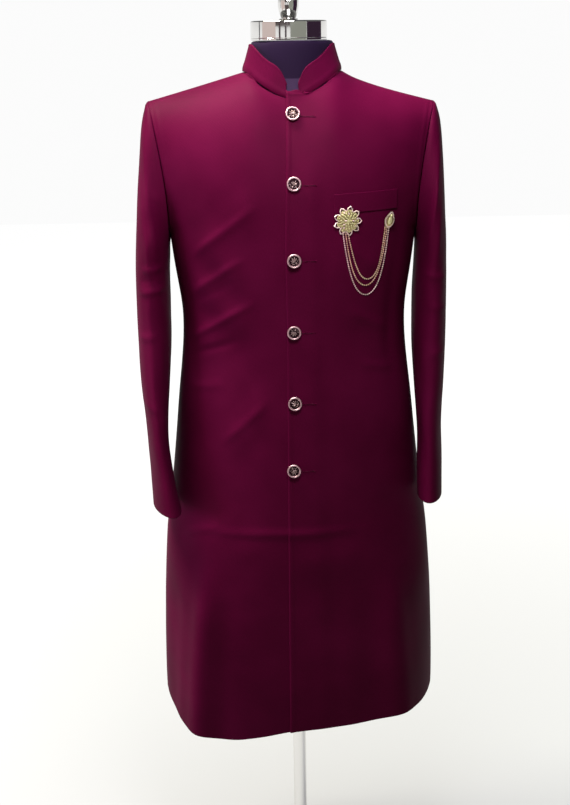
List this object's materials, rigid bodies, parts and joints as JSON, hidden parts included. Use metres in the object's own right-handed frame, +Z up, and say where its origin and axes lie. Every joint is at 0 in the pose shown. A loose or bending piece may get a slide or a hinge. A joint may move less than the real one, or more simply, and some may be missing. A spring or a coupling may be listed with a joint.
{
  "type": "sherwani coat on a dress form",
  "caption": "Knee-length sherwani coat with a band collar, welt pocket and chained brooch, buttoned up on a limbless dress form with a round base.",
  "frame": {"origin": "centre of the base's underside, below the middle of the neck", "axes": "+Z up, -Y towards the coat's front, +X towards the wearer's left"},
  "size_m": [0.5294, 0.38, 1.6798],
  "materials": {
    "wine_suiting": "fine matt wool-blend suiting with a soft sheen",
    "ink_jersey": "dark jersey over a smooth shell",
    "rose_silver": "polished rim round a dark face",
    "pale_gold": "pale gold plate with clear stones",
    "chrome": "polished chrome plate",
    "black_iron": "smooth black paint"
  },
  "bodies": {
    "root": {"front_left": "wine_suiting", "front_right": "wine_suiting", "back": "wine_suiting", "sleeve_left": "wine_suiting", "sleeve_right": "wine_suiting", "collar": "wine_suiting", "pocket_welt": "wine_suiting", "button_1": "rose_silver", "button_2": "rose_silver", "button_3": "rose_silver", "button_4": "rose_silver", "button_5": "rose_silver", "button_6": "rose_silver", "brooch_flower": "pale_gold", "brooch_rosette": "pale_gold", "brooch_drop": "pale_gold", "chain_1": "pale_gold", "chain_2": "pale_gold", "chain_3": "pale_gold", "form_body": "ink_jersey", "neck_cap": "chrome", "finial": "chrome", "pole": "chrome", "base": "black_iron"}
  },
  "joints": []
}
